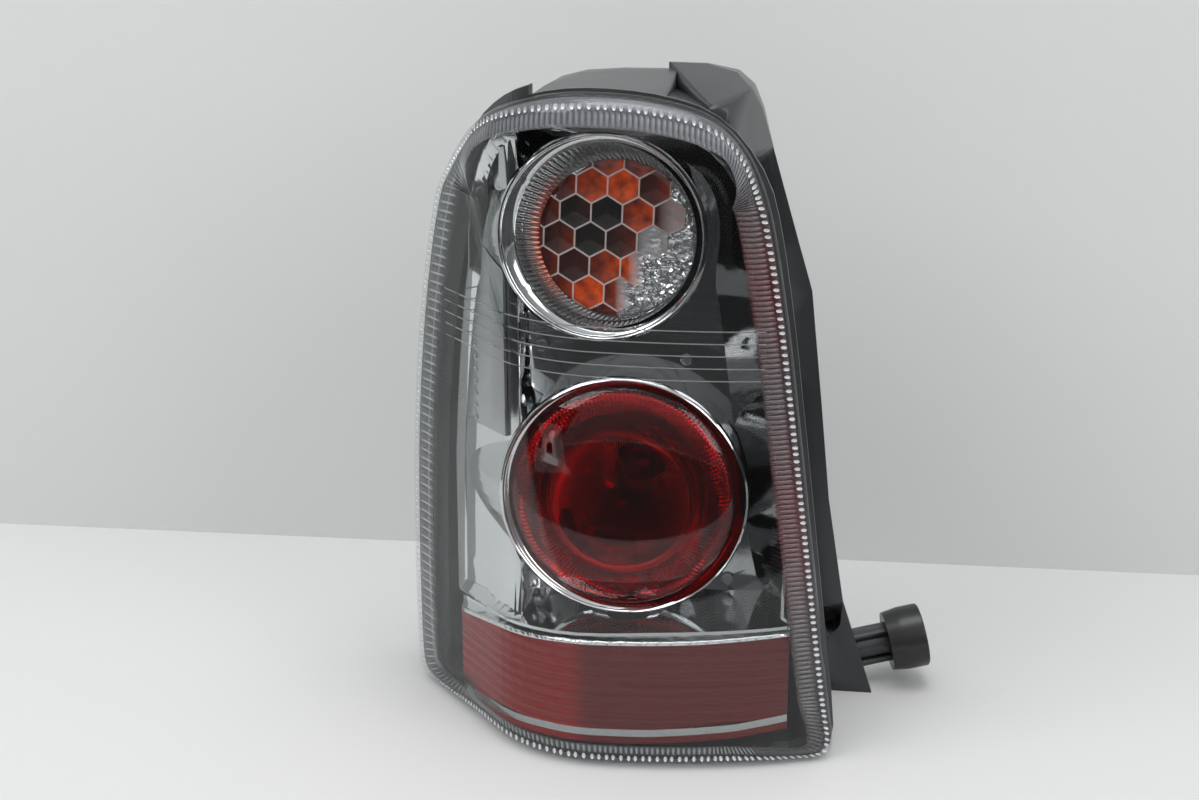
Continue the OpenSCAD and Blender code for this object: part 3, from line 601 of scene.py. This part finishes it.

# %% [markdown]
# ## Bright beads near the edge
# Where the ribs run out near the edge, a row of small round beads draws a dotted line round
# the lens. Their light colour is a painted highlight, on top of their own gloss. Each bead is
# a low dome of a few faces, and all of them are one mesh: dome points times places on the
# outline.

# %% Beads
BEADS, BEAD_INSET, BEAD_SIDES = 300, 7.2, 8
BEAD_R, BEAD_LENGTH, BEAD_RISE = 1.1, 1.7, 1.9
bead_at = (np.arange(BEADS) * len(rim)) // BEADS
bead_ring, bead_lift = np.array([1.0, 0.72, 0.25]), np.array([0, 0.55, 0.9])
bead_round = np.linspace(0, 2 * np.pi, BEAD_SIDES, endpoint=False)
along = np.roll(rim, -1, axis=0)[bead_at] - rim[bead_at]
along /= np.linalg.norm(along, axis=1, keepdims=True)
bead_middle = rim[bead_at] - rim_normal[bead_at] * BEAD_INSET
r = BEAD_R * bead_ring[:, None] * np.ones_like(bead_round)
inwards = BEAD_LENGTH * r * np.sin(bead_round)
flat = (bead_middle[:, None, None, :]
        + along[:, None, None, :] * (r * np.cos(bead_round))[None, ..., None]
        - rim_normal[bead_at][:, None, None, :] * inwards[None, ..., None])
inset = BEAD_INSET - WALL
bead_depth = inner_height * np.sqrt(1 - (1 - inset / inner_round) ** 2) + BEAD_RISE
beads = wrap(flat[..., 0], flat[..., 1], bead_depth - bead_lift[None, :, None])
bead_start = len(bead_ring) * BEAD_SIDES * np.arange(BEADS)[:, None, None]
bead_end = np.array([[16, 17, 18, 19], [16, 19, 20, 23], [20, 21, 22, 23]])
bead_faces = np.vstack([(part[None] + bead_start).reshape(-1, 4)
                        for part in (grid_faces(len(bead_ring), BEAD_SIDES), bead_end)])


def glint():
    """Slightly uneven plastic, painted bright as a highlight."""
    f = Finish("rib_glint")
    speck = f.noise(3, detail=1)
    return f.output(f.principled(
        base_color=f.colours(speck, (0.60, 0.61, 0.63), (0.92, 0.93, 0.95)),
        roughness=0.2 + 0.1 * speck, metallic=0.2 + 0.2 * speck))


bead_piece = mesh_piece("rib_beads", beads, bead_faces[:, ::-1], (glint(),))
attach(bead_piece, "root")
print("beads:", len(bead_at))

# %% [markdown]
# ## Fine ridges on the lens
# Five hair-fine ridges cross the lens between the two lamps. Each is a thin bar that
# follows the curve of the lens: a small circle carried along a nearly level path.

# %% Ridges
RIDGES, RIDGE_PITCH, RIDGE_TOP, RIDGE_R, RIDGE_FALL = 5, 7.4, 282, 0.35, 0.03
RIDGE_STEPS, RIDGE_SIDES, RIDGE_GAP = 90, 6, 0.1
along_u = np.linspace(-128, 96, RIDGE_STEPS)[None, :, None]
turn = np.linspace(0, 2 * np.pi, RIDGE_SIDES, endpoint=False)
ridge_number = np.arange(RIDGES)[:, None, None]
level_z = RIDGE_TOP - RIDGE_PITCH * ridge_number - RIDGE_FALL * along_u
ridge_points = wrap(along_u + 0 * level_z + 0 * turn, level_z + RIDGE_R * np.sin(turn),
                    inner_height - RIDGE_R - RIDGE_GAP + RIDGE_R * np.cos(turn))
near_end = np.array([[0, 1, 2, 3], [0, 3, 4, 5]])
far_end = near_end[:, ::-1] + (RIDGE_STEPS - 1) * RIDGE_SIDES
one_ridge = np.vstack([grid_faces(RIDGE_STEPS, RIDGE_SIDES), near_end, far_end])
ridge_faces = (one_ridge[None] + RIDGE_STEPS * RIDGE_SIDES * ridge_number).reshape(-1, 4)
# The ridges are clear on the real lens. Their mid grey is painted, for the light and dark lines
# they show: a painted highlight and painted shade in one.
ridge_grey = soft_black("ridge_grey", 0.20)
ridge_piece = mesh_piece("lens_ridges", ridge_points, ridge_faces, (ridge_grey,))
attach(ridge_piece, "root")
print("ridges:", RIDGES)

# %% [markdown]
# ## Turned shapes with flutes
# A lamp's optics are turned parts: a profile of radius and depth, spun round an axis that
# points to the front. Flutes are a wave added to the depth, as often round the axis as the
# real part has ribs. The red dome is made in this way.

# %% Turning a profile
def turned(x, z, profile, around, wave, count, window):
    """Ring i at radius profile[i][0] and depth profile[i][1], plus wave times a
    cosine of count turns round the axis. window[i] scales the wave of each ring."""
    angle = np.linspace(0, 2 * np.pi, around, endpoint=False)
    radius = profile[:, :1]
    depth = profile[:, 1:2] + wave * window[:, None] * np.cos(count * angle)
    return np.stack([x + radius * np.cos(angle), depth, z + radius * np.sin(angle)], axis=-1)


UPPER, LOWER = (-1, 329), (12, 168)
print("turned shapes ready")

# %% [markdown]
# ## The upper cap: a honeycomb in a fluted ring
# Behind the upper half of the lens sits a clear cap. Its middle is moulded as a honeycomb
# of shallow pillows, and round it runs a ring of about a hundred fine radial flutes. The
# honeycomb is a height field: the distance to the nearest wall of a hexagon grid.

# %% Honeycomb height
COMB_PITCH, COMB_R, COMB_TURN, COMB_Y = 18.7, 46.8, np.radians(-2), 27
COMB_AT, COMB_START = (6.8, 326.6), (2.6, -1.5)


def honeycomb(x, z):
    """Distance from a point to the nearest edge of its hexagon, as a share of half the
    pitch, 0 on a wall and 1 in the middle of a cell, then each cell's own number and the
    place of its middle."""
    x, z = x - COMB_START[0], z - COMB_START[1]
    c, s = np.cos(COMB_TURN), np.sin(COMB_TURN)
    a, b = (x * c + z * s) / COMB_PITCH, (-x * s + z * c) / COMB_PITCH
    high = np.sqrt(3)
    best = None
    for shift in ((0, 0), (0.5, high / 2)):
        i, j = np.round(a - shift[0]), np.round((b - shift[1]) / high)
        da, db = a - shift[0] - i, b - shift[1] - j * high
        far = np.maximum(np.abs(da), 0.5 * np.abs(da) + high / 2 * np.abs(db))
        number = np.sin(12.9 * (i + shift[0]) + 78.2 * (j * 2 + shift[1])) * 43.7
        number = number - np.floor(number)
        px, pz = COMB_PITCH * (i + shift[0]), COMB_PITCH * (j * high + shift[1])
        px, pz = px * c - pz * s + COMB_START[0], px * s + pz * c + COMB_START[1]
        new = (far, number, px, pz)
        best = new if best is None else [
            np.where(far < best[0], a, b) for a, b in zip(new, best)]
    return 1 - 2 * best[0], *best[1:]


sample = honeycomb(COMB_START[0] + np.array([0, COMB_PITCH / 2]), COMB_START[1] + np.zeros(2))
print("honeycomb height in the middle and on a wall:", sample[0].round(2))

# %% [markdown]
# ## Building the upper cap
# The comb is a square grid bent into a disc, so that its points are evenly spread, with a
# flat back that closes it. The fluted slope runs from the chrome ring to the comb, and it is
# wide on the left, because the comb sits to the right of the middle of its ring.

# %% Upper cap
def disc_grid(count, radius):
    """A square grid mapped to a disc: u = a * sqrt(1 - b*b/2), v = b * sqrt(1 - a*a/2)."""
    a, b = np.meshgrid(np.linspace(-1, 1, count), np.linspace(-1, 1, count), indexing="ij")
    return radius * a * np.sqrt(1 - b * b / 2), radius * b * np.sqrt(1 - a * a / 2)


def slab(front, back):
    """Two equal grids joined along their edges into one closed solid."""
    rows, columns = front.shape[:2]
    one = grid_faces(rows, columns, round_columns=False)
    index = np.arange(rows * columns).reshape(rows, columns)
    loop = np.concatenate([index[0, :-1], index[:-1, -1], index[-1, :0:-1], index[:0:-1, 0]])
    after, far = np.roll(loop, -1), rows * columns
    side = np.stack([loop, loop + far, after + far, after], axis=1)
    faces = np.vstack([one, one[:, ::-1] + far, side])
    return np.vstack([front.reshape(-1, 3), back.reshape(-1, 3)]), faces


def joined(*parts):
    """Several (points, faces) parts as one."""
    points, faces, start = [], [], 0
    for p, f in parts:
        p = np.asarray(p).reshape(-1, 3)
        points.append(p)
        faces.append(f + start)
        start += len(p)
    return np.vstack(points), np.vstack(faces)


u, v = disc_grid(200, COMB_R)
height, number, cell_x, cell_z = honeycomb(u, v)
pillow = 1.3 * np.clip(height, 0, 1) ** 0.6 * (0.8 + 0.4 * number)
edge_fade = np.clip((COMB_R - np.hypot(u, v)) / 3, 0, 1)
comb_y = COMB_Y - 1.6 * edge_fade + pillow * edge_fade
comb_front = np.stack([COMB_AT[0] + u, comb_y, COMB_AT[1] + v], -1)
comb_back = np.stack([COMB_AT[0] + u, COMB_Y + 3 + 0 * u, COMB_AT[1] + v], -1)
CAP_R, CAP_FLUTES = 55.6, 100
round_cap = np.linspace(0, 2 * np.pi, 6 * CAP_FLUTES, endpoint=False)


def between(t, y, wave):
    """A ring that is t of the way from the chrome ring's edge to the edge of the comb. Their
    middles lie 8 mm apart, so the slope between them is wide on the left."""
    middle = (1 - t) * np.array(UPPER) + t * np.array(COMB_AT)
    r = (1 - t) * CAP_R + t * (COMB_R + 0.2)
    depth = y + wave * np.cos(CAP_FLUTES * round_cap)
    x, z = middle[0] + r * np.cos(round_cap), middle[1] + r * np.sin(round_cap)
    return np.stack([x, depth, z], -1)


slope_t = np.array([0, 0.04, 0.12, 0.3, 0.5, 0.7, 0.88, 1.0])
slope_y = 19.4 + (COMB_Y - 19.8) * slope_t ** 1.3
slope = [between(t, y, 0.7 * np.sin(np.pi * min(1, 1.1 * t)) ** 0.4 if t < 0.9 else 0)
         for t, y in zip(slope_t, slope_y)]
slope += [between(t, y + 2, 0) for t, y in zip(slope_t[::-1], slope_y[::-1])]
slope = np.array(slope)
cap_points, cap_faces = joined(
    slab(comb_front, comb_back), (slope, grid_faces(len(slope), 6 * CAP_FLUTES, True)[:, ::-1]))
print("upper cap points:", len(cap_points), "faces:", len(cap_faces))

# %% [markdown]
# ## The colours in the honeycomb
# In the real lamp an amber bulb in a bright bowl shows through the cells. The cap made here
# is opaque, and what would show is painted on it, so it doesn't change with the view: the
# bulb's amber as painted light, painted shade, and a painted reflection of the bowl. Soft
# round patches, at given places, say how much of each a cell gets, and its own number and a
# small slope across it keep neighbours from being alike; the slope paints each cell lighter
# on one side. The light walls between the cells are a painted highlight.

# %% Colours of the upper cap
AMBER_LIGHT_PATCHES = ((1.3, (2, 30), 15), (1.5, (8, -16), 13), (0.8, (-12, -34), 12),
                 (0.6, (26, 14), 9))
PAINTED_SHADE_PATCHES = ((1.5, (-24, 4), 17), (1.4, (0, 12), 11))
REFLECTION_GAP_PATCH = ((1.4, (27, 8), 10),)


def lobes(x, z, patches):
    """A sum of soft round patches, each a strength, a middle and a size: strength at its
    middle, fading out as a bell curve."""
    return sum(strength * np.exp(-((x - at[0]) ** 2 + (z - at[1]) ** 2) / size ** 2)
               for strength, at, size in patches)


# Painted light and shade in the cells: amber light and shade in soft patches, each cell a little
# lighter towards one side, and a painted reflection of the bowl that grows towards it, weaker in
# one patch.
side_step = (u - cell_x) / COMB_PITCH
amber_light_part = np.clip(
    lobes(cell_x, cell_z, AMBER_LIGHT_PATCHES) + 0.5 * (number - 0.5) + 0.5 * side_step, 0, 1)
painted_shade_part = np.clip(
    lobes(cell_x, cell_z, PAINTED_SHADE_PATCHES) + 0.5 * (0.5 - number) - 0.3 * side_step, 0, 1)
towards_bowl = (cell_x - 0.45 * cell_z - 15 + 14 * (number - 0.5)) / 4
reflection_gap = 0.8 * np.clip(lobes(cell_x, cell_z, REFLECTION_GAP_PATCH), 0, 1)
bowl_reflection = np.clip(towards_bowl + 2 * side_step, 0, 1) * (1 - reflection_gap)


def comb_plastic():
    """Each cell shows amber as painted light, painted shade or a painted reflection of the bowl
    from its own attribute, and its walls are painted light as a highlight.
    """
    f = Finish("clear_cap")
    part = f.add("SeparateXYZ", None, {0: f.stored("cell", "Color")})
    wall, amber_here, shade_here = part.out("X"), part.out("Y"), part.out("Z")
    shine = f.stored("bowl_reflection")
    cloud = f.noise(7, detail=2)
    amber_tone = f.colours((2.4 * amber_here * (cloud - 0.2)).clamped(),
                           (0.07, 0.010, 0.007), (0.80, 0.085, 0.004))
    tinted = f.colours(shade_here.clamped(), amber_tone, (0.012, 0.010, 0.009))
    clear = f.colours(shine, tinted, (0.90, 0.91, 0.93))
    # Painted highlight on the walls between the cells.
    wall_highlight = 1 - wall.above(0.055)
    facets = f.noise(4.5, detail=1)
    return f.output(f.principled(
        base_color=f.colours(0.7 * wall_highlight, clear, (0.66, 0.58, 0.57)),
        roughness=0.10 + 0.12 * cloud,
        metallic=(0.95 * shine).clamped(),
        coat_weight=1.0, coat_roughness=0.03,
        normal=f.bump(facets * shine, 3.0)))


def fluted_slope():
    """Stands in for frosted clear plastic, with painted amber light next to the comb's left."""
    f = Finish("fluted_cap")
    painted_amber_light = f.stored("painted_amber_light")
    cloud = f.noise(20, detail=2)
    return f.output(f.principled(
        base_color=f.colours(painted_amber_light, (0.19, 0.185, 0.185), (0.42, 0.09, 0.05)),
        roughness=0.16 + 0.12 * cloud, metallic=0.75, coat_weight=0.2, coat_roughness=0.04))


slope_points = slope.reshape(-1, 3)
slope_face = np.arange(len(cap_faces)) >= len(cap_faces) - len(slope_points)
upper_cap = mesh_piece("upper_cap_comb", cap_points, cap_faces, (comb_plastic(), fluted_slope()),
                       slope_face, sharp=50)
no_slope = np.zeros(len(slope_points))
store(upper_cap, "cell", np.vstack([
    np.tile(np.stack([height.ravel(), amber_light_part.ravel(), painted_shade_part.ravel()], -1), (2, 1)),
    np.stack([no_slope + 1, no_slope, no_slope], -1)]))
store(upper_cap, "bowl_reflection", np.concatenate([np.tile(bowl_reflection.ravel(), 2), no_slope]))
# Painted amber light on the slope, next to the comb's left.
from_comb = np.hypot(slope_points[:, 0] - COMB_AT[0], slope_points[:, 2] - COMB_AT[1]) - COMB_R
left_of_comb = np.clip((COMB_AT[0] - 30 - slope_points[:, 0]) / 10, 0, 1)
painted_amber_light = np.clip(1 - from_comb / 7, 0, 1) * left_of_comb
store(upper_cap, "painted_amber_light", np.concatenate([np.zeros(2 * u.size), 0.9 * painted_amber_light]))
stands_for(upper_cap, "upper_cap")
print("faces of the slope:", slope_face.sum())

# %% [markdown]
# ## The red dome
# The lower cap is a domed red moulding with a smooth outside. Its flutes are inside, on
# the shoulder, so that they show only through the red as a fine radial pattern. The middle
# of the real dome looks darker than its shoulder, so two patches of painted shade match it,
# and more painted shade runs along each flute.

# %% Lower cap
DOME_R, DOME_H, DOME_WALL, LEDGE = 71.7, 16, 2.5, 22
DOME_FLUTES, FLUTE_DEPTH = 150, 0.9
DOME_SHADE_PATCHES = ((1, (12, 8), 34), (0.7, (66, 0), 34))
dome_angle = np.radians(np.linspace(1.5, 90, 30))


def dome(r, h):
    """Half of a dome's profile: radius r * sin(a) ** 0.85 and height h * cos(a) ** 0.9."""
    depth = LEDGE - DOME_WALL - h * np.cos(dome_angle) ** 0.9
    return np.stack([r * np.sin(dome_angle) ** 0.85, depth], -1)


dome_profile = np.vstack([
    dome(DOME_R, DOME_H), [(DOME_R, LEDGE), (DOME_R - DOME_WALL, LEDGE)],
    dome(DOME_R - DOME_WALL, DOME_H - DOME_WALL)[::-1]])
radius = dome_profile[:, 0]
on_shoulder = np.clip((radius - 38) / 8, 0, 1) * np.clip((DOME_R - 3 - radius) / 3, 0, 1)
dome_window = np.where(np.arange(len(radius)) > len(dome_angle) + 1, on_shoulder, 0)
dome_steps = 4 * DOME_FLUTES
dome_rings = turned(*LOWER, dome_profile, dome_steps, FLUTE_DEPTH, DOME_FLUTES, dome_window)


def red_dome():
    """Red plastic that bends light, with painted shade along each flute and in the middle."""
    f = Finish("red_dome")
    cloud = f.noise(25, detail=2)
    return f.output(f.principled(
        base_color=f.colours(f.stored("deep"), (0.86, 0.034, 0.038), (0.22, 0.005, 0.006)),
        roughness=0.03 + 0.02 * cloud, ior=1.49, transmission_weight=1.0))


lower_cap = mesh_piece(
    "lower_cap_dome", dome_rings,
    grid_faces(len(dome_profile), dome_steps, True)[:, ::-1], (red_dome(),), sharp=60)
# Painted shade, stored as deep: along the flutes of the shoulder and in two patches near the
# middle.
dome_turn = np.linspace(0, 2 * np.pi, dome_steps, endpoint=False)
on_flute = 0.5 + 0.5 * np.cos(DOME_FLUTES * dome_turn)
flute_shade = np.clip((radius - 40) / 6, 0, 1)[:, None] * on_flute * 0.8
middle = lobes(dome_rings[..., 0] - LOWER[0], dome_rings[..., 2] - LOWER[1], DOME_SHADE_PATCHES)
store(lower_cap, "deep", np.clip(np.maximum(flute_shade, 0.95 * middle), 0, 1).ravel())
stands_for(lower_cap, "lower_cap")
print("dome rings:", dome_rings.shape)

# %% [markdown]
# ## Band, sill, side piece and bulbs
# These keep their CAD shape. The band and the sill are red with fine horizontal lines,
# painted brighter on the wrap-around side, where the real band folds, and dim in front.
# The side piece looks like a bright panel in the lamp, so it gets a dull metal film,
# although its slot is a clear plastic. Each drum is chrome and each bulb a thin glass.

# %% Band, sill, side piece and bulbs
LIT_TO = -46


def lined_red(name, dark, light, pitch_mm, depth_mm):
    """Red plastic with horizontal lines: a sine of the height, as colour and bump. It is painted
    lit where x is left of LIT_TO and painted dim, as shade, where it is right of it, with a
    short step between."""
    f = Finish(name)
    at = f.add("SeparateXYZ", None, {0: f.place()})
    line = 0.5 + 0.5 * (at.out("Z") * (2 * np.pi / (pitch_mm * MM))).sine()
    cloud = f.noise(30, detail=3, stretch=(1, 1, 3))
    lit = ((LIT_TO * MM - at.out("X")) * 90 + 0.5).clamped()
    lined = f.colours((0.6 * line + 0.3 * cloud).clamped(), dark, light)
    return f.output(f.principled(
        base_color=f.colours((0.40 + 0.60 * lit).clamped(), (0.03, 0.001, 0.001), lined),
        roughness=0.3 + 0.1 * cloud,
        specular_ior_level=0.25,
        normal=f.bump(line, depth_mm)))


drum_bright = chrome("drum_chrome", haze=0.08, wave=0.25)
glass = thin_clear("bulb_glass", (0.96, 0.96, 0.97), base=0.03, gain=1.0)
for node, material in {
        "band_lens": lined_red("red_band", (0.17, 0.005, 0.006), (0.27, 0.010, 0.012), 3.1, 0.08),
        "sill_lens": lined_red("red_sill", (0.20, 0.006, 0.007), (0.34, 0.02, 0.02), 1.6, 0.2),
        "side_lens": chrome("side_panel", shade=0.62, haze=0.30, wave=0.1),
        "upper_drum": drum_bright,
        "lower_drum": drum_bright,
        "turn_glass": thin_clear("amber_glass", (0.95, 0.42, 0.08), base=0.03, gain=1.0),
        "stop_glass": glass,
        "fog_glass": glass}.items():
    dressed(node, material)

# %% [markdown]
# ## Floor and wall
# The lamp stands on a pale table in front of a pale wall. The wall is seen only from its
# front, so that it never hides the lamp from behind.

# %% Stage
def plain_stage(name, colour, one_sided=False):
    """Matt paint. One-sided paint lets the camera look through from behind."""
    f = Finish(name)
    cloud = f.noise(400, detail=2)
    shade = f.principled(
        base_color=f.colours(cloud, scaled(colour, 0.985), colour), roughness=0.75,
        specular_ior_level=0.2)
    if one_sided:
        back = f.add("NewGeometry", output="Backfacing")
        shade = f.mix(back, shade, f.add("BsdfTransparent"))
    return f.output(shade)


def stage_plane(name, corners, material):
    """A four-cornered plane that belongs to the scene and not to the lamp."""
    mesh = bpy.data.meshes.new(name)
    mesh.from_pydata(corners, [], [(0, 1, 2, 3)])
    mesh.materials.append(material)
    link(bpy.data.objects.new(name, mesh))


FLOOR_COLOUR, WALL_COLOUR = (0.62, 0.62, 0.62), (0.62, 0.64, 0.63)
WALL_Y, WALL_TURN, REACH = 0.285, 0.02, 4
wall_left, wall_right = WALL_Y - REACH * WALL_TURN, WALL_Y + REACH * WALL_TURN
stage_plane("floor", [(-REACH, -REACH, 0), (REACH, -REACH, 0),
                      (REACH, REACH, 0), (-REACH, REACH, 0)],
            plain_stage("floor_paint", FLOOR_COLOUR))
stage_plane("wall", [(-REACH, wall_left, 0), (REACH, wall_right, 0),
                     (REACH, wall_right, REACH), (-REACH, wall_left, REACH)],
            plain_stage("wall_paint", WALL_COLOUR, one_sided=True))
print("stage planes: floor and wall")

# %% [markdown]
# ## Black cards and lamps
# Chrome shows its surroundings, so the dark room in front of the table matters as much
# as the lamps. One black card lies on the floor in front and one stands on the left. The
# camera doesn't see them, and the chrome does. Three large soft lamps light the table.

# %% Cards and lamps
def black_card(name, corners):
    """A dark plane for mirrored and bent rays, hidden from the camera and diffuse light."""
    f = Finish(name)
    matt = f.principled(base_color=(0.03, 0.03, 0.031, 1), roughness=0.9)
    stage_plane(name, corners, f.output(matt))
    card = bpy.data.objects[name]
    card.visible_camera = card.visible_diffuse = card.visible_shadow = False


LIFT, LEFT_X, LEFT_TOP = 0.004, -0.8, 0.8
black_card("front_card", [(-1.2, -3, LIFT), (3, -3, LIFT), (3, -0.34, LIFT), (-1.2, -0.34, LIFT)])
black_card("left_card", [(LEFT_X, -1.6, LIFT), (LEFT_X, 0.1, LIFT),
                         (LEFT_X, 0.1, LEFT_TOP), (LEFT_X, -1.6, LEFT_TOP)])


def soft_lamp(name, place, width, height, power):
    """A rectangular lamp at a place, turned towards the middle of the tail light."""
    light = bpy.data.lights.new(name, "AREA")
    light.shape, light.size, light.size_y, light.energy = "RECTANGLE", width, height, power
    lamp = link(bpy.data.objects.new(name, light))
    lamp.location = place
    toward = np.array(AIM) - np.array(place)
    flat = np.hypot(toward[0], toward[1])
    lamp.rotation_euler = (np.arctan2(flat, -toward[2]), 0, np.arctan2(-toward[0], toward[1]))


AIM = (0, 0, 0.2)
soft_lamp("key_lamp", (-1.3, -1.1, 1.7), 1.3, 1.3, 19)
soft_lamp("fill_lamp", (1.6, -1.2, 1.2), 1.0, 1.4, 13)
soft_lamp("top_lamp", (0.1, -0.2, 2.0), 1.4, 0.9, 13)

# %% [markdown]
# ## World
# The room round the table is a plain grey, lighter above and behind and darker below and
# to the right. It fills the shadows and gives the chrome its greys.

# %% World
world = bpy.data.worlds.new("studio")
bpy.context.scene.world = world
room = Finish("studio", owner=world)
ray = room.add("TexCoord", output="Generated")
side = room.add("SeparateXYZ", None, {0: ray})
up, across, deep = side.out("Z"), side.out("X"), side.out("Y")
level = (0.42 + 0.58 * up - 0.12 * across + 0.20 * deep).clamped()
shade = room.add("CombineColor", None, {0: level, 1: level, 2: level * 1.02})
back = room.add("Background", None, {"Color": shade, "Strength": 1.05})
room.add("OutputWorld", None, {"Surface": back})
print("world:", world.name)
